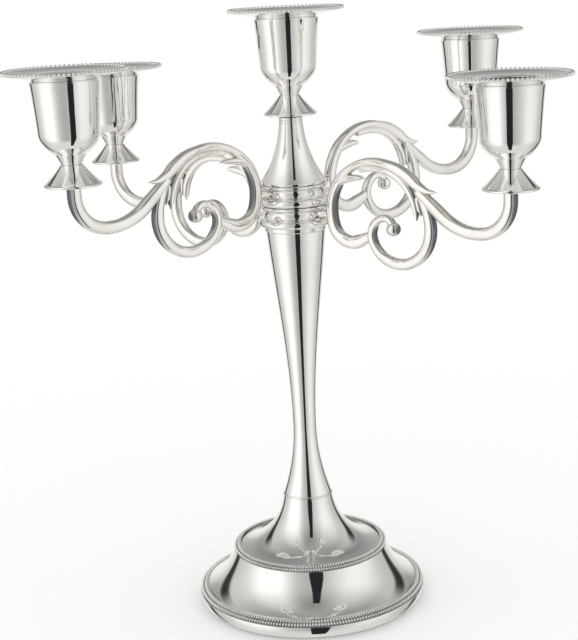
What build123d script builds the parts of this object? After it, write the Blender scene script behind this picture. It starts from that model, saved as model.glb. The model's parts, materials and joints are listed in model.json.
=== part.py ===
from build123d import *
import os
from math import cos, pi, radians, sin

# Tabletop candelabra: a round two-step base, a waisted stem, two pairs of cast
# scroll arms on stacked hub rings, a finial that clamps them, and five candle
# holders, each with a stud, a skirt, a cup and a loose drip pan.
# Millimetres. +Z runs up the stem. The origin is the centre of the felt's
# underside. The lower pair of arms lies along X.

# Base
FELT_THICKNESS = 1.5
PLATE_THICKNESS = 1.0
PLATE_GAP = 0.15
BASE_LIFT = 0.4
BASE_RADIUS = 52.1
BASE_TUCK = 2.7
BASE_SKIRT_BELLY = 0.45
BASE_SKIRT_HEIGHT = 6.2
BASE_WALL = 1.6
FLARE_FOOT_RISE = 2.3
FLARE_TOP_RADIUS = 35.2
FLARE_HOLLOW = 2.2
LEDGE_HEIGHT = 25.0
LEDGE_INNER_RADIUS = 28.6

# Beaded borders
BORDER_CLEARANCE = 0.1
OUTER_BORDER_WIDTH = 3.9
OUTER_BORDER_INNER_RISE = 2.6
OUTER_BORDER_OUTER_RISE = 0.5
INNER_BORDER_WIDTH = 3.1
INNER_BORDER_INNER_RISE = 2.5
INNER_BORDER_OUTER_RISE = 0.6
BEAD_BULGE = 0.45

# Pedestal
PEDESTAL_HEIGHT = 25.1
PEDESTAL_RADIUS = 32.3
PEDESTAL_FLANGE = 1.4
PEDESTAL_TOP_RADIUS = 11.2
PEDESTAL_HOLLOW = 5.2
PEDESTAL_WALL = 1.7
PEDESTAL_TOP_THICKNESS = 2.5

# Stem and its collar
STEM_LENGTH = 123.4
STEM_FOOT_RADIUS = 11.4
STEM_FOOT_LIP = 0.8
STEM_FOOT_SPREAD = 2
STEM_WAIST_RISE = 32.6
STEM_WAIST_RADIUS = 5.34
STEM_TOP_RADIUS = 13.4
STEM_TOP_SLOPE = 0.1
COLLAR_RADIUS = 13.7
COLLAR_HEIGHT = 2.1
COLLAR_ROUND = 0.5

# Threaded tie rod, its nut and washer
ROD_RADIUS = 3.0
ROD_RUNNING_CLEARANCE = 0.06
ROD_HOLE_CLEARANCE = 0.3
ROD_END_BELOW_NUT = 3.0
ROD_DEPTH_IN_FINIAL = 20.0
ROD_END_ROOM = 1.0
NUT_ACROSS_FLATS = 10.0
NUT_HEIGHT = 5.0
WASHER_RADIUS = 8.5
WASHER_THICKNESS = 1.6

# Hub rings
RING_HEIGHT = 9.5
RING_LIP_RADIUS = 14.8
RING_LIP_HEIGHT = 2.0
RING_GROOVE_RADIUS = 13.9
RING_FLANGE_RADIUS = 16.7
RING_FLANGE_HEIGHT = 3.4
RING_FOOT_RADIUS = 14.6

# Finial
FINIAL_HEIGHT = 27.6
FINIAL_RADIUS = 14.4
FINIAL_RIM = 0.9
FINIAL_NECK_RADIUS = 4.8
FINIAL_HOLLOW = 1.7
FINIAL_COLLAR_RADIUS = 5.1
FINIAL_COLLAR_HEIGHT = 1.0

# Arms. Each outline is drawn for a reach of ARM_DRAWN_REACH, in the arm's own
# vertical plane: distance from the stem's axis, then height above the lug.
ARM_REACH = 110.66
ARM_DRAWN_REACH = 110.66
UPPER_PAIR_ANGLE = 77.7
TUBE_RADIUS = 2.75
SCROLL_RADIUS = 2.3
VOLUTE_RADIUS = 2.45
RIB_RADIUS = 1.3
PRONG_RADIUS = 1.1
LEAF_RADIUS = 1.2
BALL_RADIUS = 3.1
BALL_REACH = 53.3
BALL_RISE = -3.9
BOSS_RADIUS = 3.6
BOSS_DEPTH = 2.0
BOSS_HEIGHT = 3.375
LUG_LEVEL = 5.85
LUG_HEIGHT = 4.4
LUG_WIDTH = 4.0
LUG_INNER_RADIUS = 11.6
LUG_OUTER_RADIUS = 20.8
BRAZE_GAP = 0.05
# Each path: start point, first heading in degrees, then its stretches as
# (radius, turn in degrees) or (straight length, 0).
TUBE_PATH = ((67.0, 12.7), -40.0, [(14.2, 0), (26.2, 46.5), (14.6, 83.5), (1.4, 0)])
SCROLL_PATH = (
    (73.5, 13.0),
    181.8,
    [(12.35, -42.7), (33.5, 35.2), (23.5, 49.8), (22.1, 60.3), (9.9, 97.4), (66.4, 5.7)],
)
RIB_PATH = ((38.0, 20.7), 11.8, [(30.7, -19.9), (19.5, -84.9)])
PRONG_PATH = ((66.3, 10.0), -86.0, [(30.0, 14.0)])
VOLUTE_PATH = (
    (67.7, 10.9),
    -55.0,
    [(25.0, -29.9), (16.1, -112.9), (13.6, -49.4), (8.0, -86.9), (4.8, -97.4)],
)
LEAF_PATH = ((24.5, 14.2), 27.0, [(24.9, -34.3)])

# Candle holders, with heights above the boss that each one stands on
HOLDER_HEIGHT = 46.8
STUD_RADIUS = 2.0
STUD_DEPTH = 3.0
STUD_ENGAGEMENT = 4.2
THREAD_CLEARANCE = 0.05
STUD_END_ROOM = 2.0
SKIRT_HEIGHT = 9.5
SKIRT_RADIUS = 11.7
SKIRT_FOOT_RADIUS = 4.6
SKIRT_NECK_RADIUS = 4.5
SKIRT_UNDERCUT = 1.3
SKIRT_RIM = 1.0
SKIRT_HOLLOW = 0.2
SKIRT_BORE_CLEARANCE = 0.1
CANDLE_BORE_RADIUS = 11.3
CANDLE_BORE_FLOOR = 12.6
CUP_HEIGHT = 33.2
CUP_NECK_RADIUS = 4.2
CUP_CONE_RISE = 4.45
CUP_CONE_RADIUS = 6.3
CUP_CONE_HOLLOW = 0.15
CUP_BOWL_RISE = 10.4
CUP_BOWL_WALL = 0.8
CUP_BOWL_BULGE = 0.9
CUP_SHOULDER_RISE = 4.9
CUP_SHOULDER_WALL = 1.3
CUP_SHOULDER_BULGE = 0.125
CUP_LIP_WALL = 1.65
CUP_LIP_CHAMFER = 0.5
PAN_SEAT_LEDGE = 1.15
PAN_SEAT_DEPTH = 3.2
PAN_SPIGOT_CLEARANCE = 0.05
PAN_SPIGOT_GAP = 0.2
PAN_HOLE_CLEARANCE = 0.2
PAN_RADIUS = 25.1
PAN_THICKNESS = 1.2
PAN_RIM_HEIGHT = 0.9
PAN_NECK_WALL = 0.75
PAN_NECK_HEIGHT = 1.0
PAN_HOLLOW = 1.0

# Radii worked out from the sizes above
BASE_FOOT_RADIUS = BASE_RADIUS - BASE_TUCK
FLARE_FOOT_RADIUS = BASE_RADIUS - OUTER_BORDER_WIDTH
ROD_HOLE_RADIUS = ROD_RADIUS + ROD_HOLE_CLEARANCE
CUP_BOWL_RADIUS = CANDLE_BORE_RADIUS + CUP_BOWL_WALL
CUP_SHOULDER_RADIUS = CANDLE_BORE_RADIUS + CUP_SHOULDER_WALL
PAN_SEAT_RADIUS = CANDLE_BORE_RADIUS + PAN_SEAT_LEDGE
PAN_NECK_RADIUS = PAN_SEAT_RADIUS + PAN_NECK_WALL
CUP_TOP_RADIUS = PAN_SEAT_RADIUS + CUP_LIP_WALL

# Heights worked out from the sizes above
PLATE_Z = FELT_THICKNESS
SKIRT_TOP_Z = BASE_SKIRT_HEIGHT
PEDESTAL_Z = LEDGE_HEIGHT
STEM_Z = PEDESTAL_Z + PEDESTAL_HEIGHT
COLLAR_Z = STEM_Z + STEM_LENGTH
LOWER_RING_Z = COLLAR_Z + COLLAR_HEIGHT
UPPER_RING_Z = LOWER_RING_Z + RING_HEIGHT
FINIAL_Z = UPPER_RING_Z + RING_HEIGHT
CENTRE_HOLDER_Z = FINIAL_Z + FINIAL_HEIGHT + FINIAL_COLLAR_HEIGHT
WASHER_TOP_Z = STEM_Z - PEDESTAL_TOP_THICKNESS
NUT_TOP_Z = WASHER_TOP_Z - WASHER_THICKNESS
ROD_BOTTOM_Z = NUT_TOP_Z - NUT_HEIGHT - ROD_END_BELOW_NUT
ROD_TOP_Z = FINIAL_Z + ROD_DEPTH_IN_FINIAL
ARM_SCALE = ARM_REACH / ARM_DRAWN_REACH
SAME_POINT = 1e-6


class Outline:
    """Half section of a turned piece, as radius and height, closed at the end."""

    def __init__(self, radius, height):
        self.start = self.end = Vector(radius, 0, height)
        self.edges = []

    def add(self, edge, end):
        self.edges.append(edge)
        self.end = end
        return self

    def line(self, radius, height):
        end = Vector(radius, 0, height)
        return self.add(Edge.make_line(self.end, end), end)

    def arc(self, radius, height, sag):
        """An arc that stands sag to the right of its chord, or left if negative."""
        end = Vector(radius, 0, height)
        chord = (end - self.end).normalized()
        middle = (self.end + end) * 0.5 + Vector(chord.Z, 0, -chord.X) * sag
        return self.add(Edge.make_three_point_arc(self.end, middle, end), end)

    def flow(self, radius, height, slope_out, slope_in):
        """A smooth rise between two slopes, each in radius per height."""
        end = Vector(radius, 0, height)
        third = (height - self.end.Z) / 3
        leave = self.end + Vector(slope_out * third, 0, third)
        arrive = end - Vector(slope_in * third, 0, third)
        return self.add(Edge.make_bezier(self.end, leave, arrive, end), end)

    def turned(self):
        if (self.end - self.start).length > SAME_POINT:
            self.line(self.start.X, self.start.Z)
        return revolve(Face(Wire(self.edges)), Axis.Z)


def tube_ring(outer, inner, bottom, top):
    """A plain ring or, with no inner radius, a disc."""
    ring = Outline(inner, bottom).line(outer, bottom).line(outer, top).line(inner, top)
    return ring.turned()


def cylinder(radius, bottom, top):
    return Pos(0, 0, bottom) * extrude(Circle(radius), top - bottom)


def base_shell():
    """Spun shell: rounded skirt, flat seat, concave flare and inner ledge."""
    wall = BASE_WALL
    flare_foot_z = SKIRT_TOP_Z + FLARE_FOOT_RISE
    outline = Outline(BASE_FOOT_RADIUS, BASE_LIFT)
    outline.arc(BASE_RADIUS, SKIRT_TOP_Z, BASE_SKIRT_BELLY)
    outline.line(FLARE_FOOT_RADIUS, SKIRT_TOP_Z)
    outline.line(FLARE_FOOT_RADIUS, flare_foot_z)
    outline.arc(FLARE_TOP_RADIUS, LEDGE_HEIGHT, -FLARE_HOLLOW)
    outline.line(LEDGE_INNER_RADIUS, LEDGE_HEIGHT)
    outline.line(LEDGE_INNER_RADIUS, LEDGE_HEIGHT - wall)
    outline.line(FLARE_TOP_RADIUS - wall, LEDGE_HEIGHT - wall)
    outline.arc(FLARE_FOOT_RADIUS - wall, SKIRT_TOP_Z - wall + FLARE_FOOT_RISE / 2, FLARE_HOLLOW)
    outline.line(FLARE_FOOT_RADIUS - wall, SKIRT_TOP_Z - wall)
    outline.line(BASE_RADIUS - wall, SKIRT_TOP_Z - wall)
    outline.line(BASE_FOOT_RADIUS - wall, BASE_LIFT)
    return outline.turned()


def plate_radius():
    """Radius that clears the skirt's inside where the plate and felt lie."""
    return BASE_FOOT_RADIUS - BASE_WALL - PLATE_GAP


def beaded_border(inner, outer, bottom, inner_rise, outer_rise):
    """Ring with a sloping top of two rounded rows, one inside the other."""
    middle = (inner + outer) / 2
    middle_rise = (inner_rise + outer_rise) / 2
    outline = Outline(inner, bottom)
    outline.line(outer, bottom)
    outline.line(outer, bottom + outer_rise)
    outline.arc(middle, bottom + middle_rise, BEAD_BULGE)
    outline.arc(inner, bottom + inner_rise, BEAD_BULGE)
    return outline.turned()


def pedestal():
    """Spun trumpet with a flange round its foot and a thick top for the rod."""
    inner_foot = PEDESTAL_RADIUS - PEDESTAL_WALL
    outline = Outline(inner_foot, PEDESTAL_Z)
    outline.line(PEDESTAL_RADIUS, PEDESTAL_Z)
    outline.line(PEDESTAL_RADIUS, PEDESTAL_Z + PEDESTAL_FLANGE)
    outline.arc(PEDESTAL_TOP_RADIUS, STEM_Z, -PEDESTAL_HOLLOW)
    outline.line(ROD_HOLE_RADIUS, STEM_Z)
    outline.line(ROD_HOLE_RADIUS, WASHER_TOP_Z)
    outline.line(PEDESTAL_TOP_RADIUS - PEDESTAL_WALL, WASHER_TOP_Z)
    outline.arc(inner_foot, PEDESTAL_Z, PEDESTAL_HOLLOW)
    return outline.turned()


def stem():
    """Waisted column with a small lip at its foot, bored for the tie rod."""
    outline = Outline(STEM_FOOT_RADIUS, STEM_Z)
    outline.line(STEM_FOOT_RADIUS, STEM_Z + STEM_FOOT_LIP)
    foot_slope = STEM_FOOT_SPREAD * (STEM_WAIST_RADIUS - STEM_FOOT_RADIUS) / STEM_WAIST_RISE
    outline.flow(STEM_WAIST_RADIUS, STEM_Z + STEM_WAIST_RISE, foot_slope, 0)
    outline.flow(STEM_TOP_RADIUS, COLLAR_Z, 0, STEM_TOP_SLOPE)
    outline.line(ROD_HOLE_RADIUS, COLLAR_Z)
    outline.line(ROD_HOLE_RADIUS, STEM_Z)
    return outline.turned()


def stem_collar():
    """Bearing collar between the stem and the lower hub ring."""
    outline = Outline(ROD_HOLE_RADIUS, COLLAR_Z)
    outline.line(COLLAR_RADIUS - COLLAR_ROUND, COLLAR_Z)
    outline.line(COLLAR_RADIUS, COLLAR_Z + COLLAR_ROUND)
    outline.line(COLLAR_RADIUS, LOWER_RING_Z)
    outline.line(ROD_HOLE_RADIUS, LOWER_RING_Z)
    return outline.turned()


def rod_nut():
    hexagon = RegularPolygon(NUT_ACROSS_FLATS / 2, 6, major_radius=False)
    return Pos(0, 0, NUT_TOP_Z - NUT_HEIGHT) * extrude(hexagon - Circle(ROD_RADIUS), NUT_HEIGHT)


def lug(angle, level, gap=0.0):
    """Tenon that joins an arm to its hub ring, grown by gap for its pocket."""
    inner = LUG_INNER_RADIUS - gap
    outer = LUG_OUTER_RADIUS * ARM_SCALE
    block = Box(outer - inner, LUG_WIDTH + 2 * gap, LUG_HEIGHT + 2 * gap)
    middle = (inner + outer) / 2
    return Rot(0, 0, angle) * Pos(middle, 0, level) * block


def hub_ring(bottom, angle):
    """Turned ring with a top lip, a groove and a bottom flange."""
    top = bottom + RING_HEIGHT
    bore = ROD_RADIUS + ROD_RUNNING_CLEARANCE
    outline = Outline(bore, bottom)
    outline.line(RING_FOOT_RADIUS, bottom)
    outline.arc(RING_GROOVE_RADIUS, bottom + RING_FLANGE_HEIGHT, RING_FLANGE_RADIUS - RING_FOOT_RADIUS)
    outline.line(RING_GROOVE_RADIUS, top - RING_LIP_HEIGHT)
    outline.arc(RING_GROOVE_RADIUS, top, RING_LIP_RADIUS - RING_GROOVE_RADIUS)
    outline.line(bore, top)
    ring = outline.turned()
    for side in (0, 180):
        ring -= lug(angle + side, bottom + LUG_LEVEL, BRAZE_GAP)
    return ring


def arm_wire(path):
    """Chain of straight and circular stretches in the arm's vertical plane."""
    (reach, rise), heading, stretches = path
    edges = []
    here = Vector(reach, 0, rise)
    for size, turn in stretches:
        ahead = Vector(cos(radians(heading)), 0, sin(radians(heading)))
        if turn == 0:
            there = here + ahead * size
            edges.append(Edge.make_line(here * ARM_SCALE, there * ARM_SCALE))
        else:
            side = 1 if turn > 0 else -1
            centre = here + Vector(-ahead.Z, 0, ahead.X) * size * side
            half, there = (
                centre + (here - centre).rotate(Axis.Y, -turn * share) for share in (0.5, 1)
            )
            edges.append(Edge.make_three_point_arc(*(p * ARM_SCALE for p in (here, half, there))))
        here = there
        heading += turn
    return Wire(edges)


def arm_rod(path, radius):
    """Round bar along a path, with a rounded end at each end of it."""
    wire = arm_wire(path)
    thick = radius * ARM_SCALE
    section = Plane(wire @ 0, z_dir=wire % 0) * Circle(thick)
    bar = sweep(section, path=wire)
    for end in (wire @ 0, wire @ 1):
        bar += Pos(end) * Sphere(thick)
    return bar


def arm(ring_bottom, angle):
    """Cast arm: tube, C-scroll with its inner rib and leaves, volute and ball."""
    boss_top = boss_height()
    boss_place = Pos(ARM_REACH, 0, 0)
    body = arm_rod(SCROLL_PATH, SCROLL_RADIUS)
    body += arm_rod(TUBE_PATH, TUBE_RADIUS)
    body += arm_rod(VOLUTE_PATH, VOLUTE_RADIUS)
    body += arm_rod(RIB_PATH, RIB_RADIUS)
    body += arm_rod(PRONG_PATH, PRONG_RADIUS)
    body += arm_rod(LEAF_PATH, LEAF_RADIUS)
    ball_centre = Vector(BALL_REACH, 0, BALL_RISE) * ARM_SCALE
    body += Pos(ball_centre) * Sphere(BALL_RADIUS * ARM_SCALE)
    body += lug(0, 0)
    body += boss_place * cylinder(BOSS_RADIUS, boss_top - BOSS_HEIGHT, boss_top)
    body -= boss_place * cylinder(BOSS_RADIUS, boss_top, boss_top + BOSS_HEIGHT)
    body -= boss_place * cylinder(STUD_RADIUS, boss_top - STUD_DEPTH, boss_top)
    return Rot(0, 0, angle) * Pos(0, 0, ring_bottom + LUG_LEVEL) * body


def boss_height():
    """Height of an arm's boss above its lug."""
    return (arm_wire(TUBE_PATH) @ 1).Z + BOSS_DEPTH


def finial():
    """Flared nut that clamps the hub rings, bored for the rod and the stud."""
    shoulder = FINIAL_Z + FINIAL_HEIGHT
    top = shoulder + FINIAL_COLLAR_HEIGHT
    outline = Outline(0, FINIAL_Z)
    outline.line(FINIAL_RADIUS, FINIAL_Z)
    outline.line(FINIAL_RADIUS, FINIAL_Z + FINIAL_RIM)
    outline.arc(FINIAL_NECK_RADIUS, shoulder, -FINIAL_HOLLOW)
    outline.line(FINIAL_COLLAR_RADIUS, shoulder)
    outline.line(FINIAL_COLLAR_RADIUS, top)
    outline.line(0, top)
    body = outline.turned()
    body -= cylinder(ROD_RADIUS, FINIAL_Z, ROD_TOP_Z + ROD_END_ROOM)
    body -= cylinder(STUD_RADIUS, top - STUD_DEPTH, top)
    return body


def cup_stud():
    """Threaded stud, fixed in the boss, that the cup screws onto."""
    return cylinder(STUD_RADIUS, -STUD_DEPTH, SKIRT_HEIGHT + STUD_ENGAGEMENT)


def skirt():
    """Bell-shaped washer under the cup."""
    bore = STUD_RADIUS + SKIRT_BORE_CLEARANCE
    outline = Outline(bore, 0)
    outline.line(SKIRT_FOOT_RADIUS, 0)
    outline.line(SKIRT_RADIUS, SKIRT_UNDERCUT)
    outline.line(SKIRT_RADIUS, SKIRT_UNDERCUT + SKIRT_RIM)
    outline.arc(SKIRT_NECK_RADIUS, SKIRT_HEIGHT, -SKIRT_HOLLOW)
    outline.line(bore, SKIRT_HEIGHT)
    return outline.turned()


def cup():
    """Candle cup: coned foot, round bowl, tapered wall, candle bore and pan seat."""
    thread = STUD_RADIUS + THREAD_CLEARANCE
    thread_top = SKIRT_HEIGHT + STUD_ENGAGEMENT + STUD_END_ROOM
    bowl_top = SKIRT_HEIGHT + CUP_BOWL_RISE
    top = SKIRT_HEIGHT + CUP_HEIGHT
    floor = SKIRT_HEIGHT + CANDLE_BORE_FLOOR
    seat = top - PAN_SEAT_DEPTH
    outline = Outline(thread, SKIRT_HEIGHT)
    outline.line(CUP_NECK_RADIUS, SKIRT_HEIGHT)
    outline.arc(CUP_CONE_RADIUS, SKIRT_HEIGHT + CUP_CONE_RISE, -CUP_CONE_HOLLOW)
    outline.arc(CUP_BOWL_RADIUS, bowl_top, CUP_BOWL_BULGE)
    outline.arc(CUP_SHOULDER_RADIUS, bowl_top + CUP_SHOULDER_RISE, CUP_SHOULDER_BULGE)
    outline.line(CUP_TOP_RADIUS, top - CUP_LIP_CHAMFER)
    outline.line(CUP_TOP_RADIUS - CUP_LIP_CHAMFER, top)
    outline.line(PAN_SEAT_RADIUS, top)
    outline.line(PAN_SEAT_RADIUS, seat)
    outline.line(CANDLE_BORE_RADIUS, seat)
    outline.line(CANDLE_BORE_RADIUS, floor)
    outline.line(0, floor)
    outline.line(0, thread_top)
    outline.line(thread, thread_top)
    return outline.turned()


def drip_pan():
    """Shallow loose dish with a spigot that drops into the cup's mouth."""
    seat = SKIRT_HEIGHT + CUP_HEIGHT
    hole = CANDLE_BORE_RADIUS + PAN_HOLE_CLEARANCE
    spigot = PAN_SEAT_RADIUS - PAN_SPIGOT_CLEARANCE
    rim_top = HOLDER_HEIGHT
    rim_low = rim_top - PAN_RIM_HEIGHT
    neck_top = seat + PAN_NECK_HEIGHT
    outline = Outline(hole, seat - PAN_SEAT_DEPTH + PAN_SPIGOT_GAP)
    outline.line(spigot, seat - PAN_SEAT_DEPTH + PAN_SPIGOT_GAP)
    outline.line(spigot, seat)
    outline.line(PAN_NECK_RADIUS, seat)
    outline.line(PAN_NECK_RADIUS, neck_top)
    outline.arc(PAN_RADIUS, rim_low, PAN_HOLLOW)
    outline.line(PAN_RADIUS, rim_top)
    outline.line(PAN_RADIUS - PAN_THICKNESS, rim_top)
    outline.arc(PAN_NECK_RADIUS, neck_top + PAN_THICKNESS / 2, -PAN_HOLLOW)
    outline.line(hole, neck_top + PAN_THICKNESS / 2)
    return outline.turned()


def write(name, shape):
    shape.label = name
    export_step(shape, os.path.join("parts", name + ".step"))


def write_holder(place, foot):
    """The four pieces of one candle holder, standing on the boss at foot."""
    for name, make in (
        ("cup_stud", cup_stud),
        ("skirt", skirt),
        ("candle_cup", cup),
        ("drip_pan", drip_pan),
    ):
        write(f"{name}_{place}", Pos(foot) * make())


def main():
    os.makedirs("parts", exist_ok=True)
    write("felt_pad", cylinder(plate_radius(), 0, FELT_THICKNESS))
    write("bottom_plate", cylinder(plate_radius(), PLATE_Z, PLATE_Z + PLATE_THICKNESS))
    write("base_shell", base_shell())
    outer_inside = FLARE_FOOT_RADIUS + BORDER_CLEARANCE
    write(
        "border_outer",
        beaded_border(
            outer_inside, BASE_RADIUS, SKIRT_TOP_Z, OUTER_BORDER_INNER_RISE, OUTER_BORDER_OUTER_RISE
        ),
    )
    inner_inside = PEDESTAL_RADIUS + BORDER_CLEARANCE
    write(
        "border_inner",
        beaded_border(
            inner_inside,
            inner_inside + INNER_BORDER_WIDTH,
            LEDGE_HEIGHT,
            INNER_BORDER_INNER_RISE,
            INNER_BORDER_OUTER_RISE,
        ),
    )
    write("pedestal", pedestal())
    write("stem", stem())
    write("stem_collar", stem_collar())
    write("tie_rod", cylinder(ROD_RADIUS, ROD_BOTTOM_Z, ROD_TOP_Z))
    write("rod_washer", tube_ring(WASHER_RADIUS, ROD_HOLE_RADIUS, NUT_TOP_Z, WASHER_TOP_Z))
    write("rod_nut", rod_nut())
    write("finial", finial())
    write_holder("centre", Vector(0, 0, CENTRE_HOLDER_Z))

    lower = (LOWER_RING_Z, 0, ("right", "left"))
    upper = (UPPER_RING_Z, UPPER_PAIR_ANGLE, ("back", "front"))
    for ring_name, (ring_z, pair_angle, places) in (("lower", lower), ("upper", upper)):
        write("hub_ring_" + ring_name, hub_ring(ring_z, pair_angle))
        for place, angle in zip(places, (pair_angle, pair_angle + 180)):
            write("arm_" + place, arm(ring_z, angle))
            across = Vector(ARM_REACH, 0, 0).rotate(Axis.Z, angle)
            up = Vector(0, 0, ring_z + LUG_LEVEL + boss_height())
            write_holder(place, across + up)


main()
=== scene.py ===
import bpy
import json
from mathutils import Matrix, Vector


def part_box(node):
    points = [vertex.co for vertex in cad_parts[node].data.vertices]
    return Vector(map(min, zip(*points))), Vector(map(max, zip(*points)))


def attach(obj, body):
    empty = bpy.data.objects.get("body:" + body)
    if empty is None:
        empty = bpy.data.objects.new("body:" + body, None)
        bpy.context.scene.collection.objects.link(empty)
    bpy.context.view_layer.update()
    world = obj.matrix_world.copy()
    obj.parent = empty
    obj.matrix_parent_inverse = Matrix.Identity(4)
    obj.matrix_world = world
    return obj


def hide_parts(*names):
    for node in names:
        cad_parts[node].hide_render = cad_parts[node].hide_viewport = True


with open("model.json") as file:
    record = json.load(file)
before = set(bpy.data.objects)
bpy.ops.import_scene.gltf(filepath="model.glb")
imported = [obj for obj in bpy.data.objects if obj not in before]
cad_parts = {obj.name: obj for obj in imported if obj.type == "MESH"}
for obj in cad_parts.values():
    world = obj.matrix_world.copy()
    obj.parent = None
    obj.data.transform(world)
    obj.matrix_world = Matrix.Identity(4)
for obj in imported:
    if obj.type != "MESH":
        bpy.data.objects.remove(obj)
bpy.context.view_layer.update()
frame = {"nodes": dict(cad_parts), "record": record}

import json
from math import atan2, ceil, copysign, cos, pi, radians, sin, tan

import bpy
from mathutils import Matrix, Vector

# The looks of a tabletop candelabra in polished silver plate. Outlines are in
# millimetres, and MM turns them into the frame's metres.
MM = 0.001

# Camera, at the photograph's angle: where it stands, and how it is turned
CAMERA_AZIMUTH = 39.41
CAMERA_DISTANCE = 666.8
CAMERA_HEIGHT = 294.9
CAMERA_YAW = -0.42
CAMERA_PITCH = 13.72
CAMERA_ROLL = -2.76
CAMERA_LENS = 85.82

# Turned pieces: how finely they are cut, which corners are rounded and how
STEPS_LARGE = 256
STEPS_SMALL = 128
SAMPLE_LENGTH = 0.6
CORNER_TURN = radians(9)
CORNER_STEPS = 5
LEAST_CORNER_CUT = 0.02
SAME_POINT = 1e-6

# Air under a piece that turns on its seat, and the tie rod's hole
SEAT_GAP = 0.02
ROD_HOLE = 3.3


# ---------------------------------------------------------------- outlines


class Outline:
    """Half section of a turned piece: radius, height and direction, in millimetres."""

    def __init__(self, radius, height):
        self.points = []
        self.here = Vector((radius, height))

    def add(self, points):
        """Goes on with the points, and stands at the last of them."""
        self.points += points
        self.here = points[-1][0]

    def line(self, radius, height):
        """A straight stretch to a radius and height."""
        start, end = self.here, Vector((radius, height))
        ahead = (end - start).normalized()
        count = max(1, ceil((end - start).length / SAMPLE_LENGTH))
        self.add([(start.lerp(end, i / count), ahead) for i in range(count + 1)])

    def arc(self, radius, height, sag):
        """An arc that stands sag to the right of its chord, or left if negative."""
        start, end = self.here, Vector((radius, height))
        chord = end - start
        half = chord.length / 2
        size = (half * half + sag * sag) / (2 * abs(sag))
        side = Vector((chord.y, -chord.x)).normalized() * (1 if sag > 0 else -1)
        centre = (start + end) / 2 + side * (abs(sag) - size)
        spoke = start - centre
        sweep = 2 * atan2(half, size - abs(sag)) * (1 if sag > 0 else -1)
        count = max(4, ceil(abs(sweep) * size / SAMPLE_LENGTH))
        points = []
        for i in range(count + 1):
            turned = Matrix.Rotation(sweep * i / count, 2) @ spoke
            along = Vector((-turned.y, turned.x)) * (1 if sweep > 0 else -1)
            points.append((centre + turned, along.normalized()))
        self.add(points)

    def flow(self, radius, height, slope_out, slope_in):
        """A smooth rise between two slopes, each in radius per height."""
        start, end = self.here, Vector((radius, height))
        third = (height - start.y) / 3
        leave = start + Vector((slope_out * third, third))
        arrive = end - Vector((slope_in * third, third))
        count = max(6, ceil((end - start).length / SAMPLE_LENGTH / 2))
        points = []
        for i in range(count + 1):
            t = i / count
            u = 1 - t
            place = start * u**3 + leave * 3 * u * u * t + arrive * 3 * u * t * t + end * t**3
            ahead = (leave - start) * u * u + (arrive - leave) * 2 * u * t + (end - arrive) * t * t
            points.append((place, ahead.normalized()))
        self.add(points)

    def softened(self, radius, closed):
        """The points, with each sharp corner rounded to the radius."""
        if closed and (self.points[0][0] - self.here).length > SAMPLE_LENGTH / 100:
            self.line(*self.points[0][0])
        points = self.points
        rounded = []
        count = len(points)
        for i, (place, ahead) in enumerate(points):
            after_place, after_ahead = points[(i + 1) % count]
            if (place - after_place).length > SAME_POINT or (i == count - 1 and not closed):
                rounded.append((place, ahead))
                continue
            turn = ahead.angle_signed(after_ahead, 0)
            if abs(turn) < CORNER_TURN:
                continue
            rounded.append(("corner", place, ahead, after_ahead, turn))
        return round_corners(rounded, radius, closed)


def round_corners(points, radius, closed):
    """Replaces each marked corner with an arc, and drops the points it swallows."""
    corners = [point for point in points if point[0] == "corner"]
    keep = []
    for i, point in enumerate(points):
        if point[0] != "corner":
            if all((corner[1] - point[0]).length >= corner_cut(corner, radius) for corner in corners):
                keep.append(point)
            continue
        _, place, ahead, after, turn = point
        cut = corner_cut(point, radius)
        start, end = place - ahead * cut, place + after * cut
        for step in range(CORNER_STEPS + 1):
            t = step / CORNER_STEPS
            u = 1 - t
            where = start * u * u + place * 2 * u * t + end * t * t
            keep.append((where, (ahead * u + after * t).normalized()))
    return keep


def corner_cut(corner, radius):
    """How far from a marked corner its rounding starts."""
    return max(LEAST_CORNER_CUT, radius * abs(tan(corner[4] / 2)))


def lathe(name, outline, steps, centre=(0, 0, 0), soften=0.15, closed=True):
    """Turns an outline about a vertical axis into a mesh with true normals.

    A closed outline makes a ring, and an open one starts and ends on the axis.
    """
    vertices, normals, faces = [], [], []
    rows = []
    for place, ahead in outline.softened(soften, closed):
        out = Vector((ahead.y, -ahead.x))
        if place.x < SAME_POINT:
            rows.append([len(vertices)])
            vertices.append((centre[0], centre[1], centre[2] + place.y * MM))
            normals.append((0, 0, out.y))
            continue
        rows.append(range(len(vertices), len(vertices) + steps))
        for i in range(steps):
            angle = 2 * pi * i / steps
            c, s = cos(angle), sin(angle)
            vertices.append(
                (centre[0] + place.x * MM * c, centre[1] + place.x * MM * s, centre[2] + place.y * MM)
            )
            normals.append((out.x * c, out.x * s, out.y))
    pairs = list(zip(rows, rows[1:])) + ([(rows[-1], rows[0])] if closed else [])
    for low, high in pairs:
        for i in range(steps):
            j = (i + 1) % steps
            ring = [low[i % len(low)], low[j % len(low)], high[j % len(high)], high[i % len(high)]]
            face = list(dict.fromkeys(ring))
            if len(face) > 2:
                faces.append(face)
    return mesh_object(name, vertices, faces, normals)


def in_scene(name, data):
    """A new object of the scene, from a mesh or camera."""
    thing = bpy.data.objects.new(name, data)
    bpy.context.scene.collection.objects.link(thing)
    return thing


def mesh_object(name, vertices, faces, normals):
    """A smooth mesh with the normals given, one for each vertex."""
    mesh = bpy.data.meshes.new(name)
    mesh.from_pydata(vertices, [], faces)
    mesh.shade_smooth()
    mesh.normals_split_custom_set_from_vertices(normals)
    return in_scene(name, mesh)


def flat_object(name, corners, faces, material):
    """A plain sheet for the stage, in one material."""
    mesh = bpy.data.meshes.new(name)
    mesh.from_pydata(corners, [], faces)
    mesh.materials.append(material)
    return in_scene(name, mesh)


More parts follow.
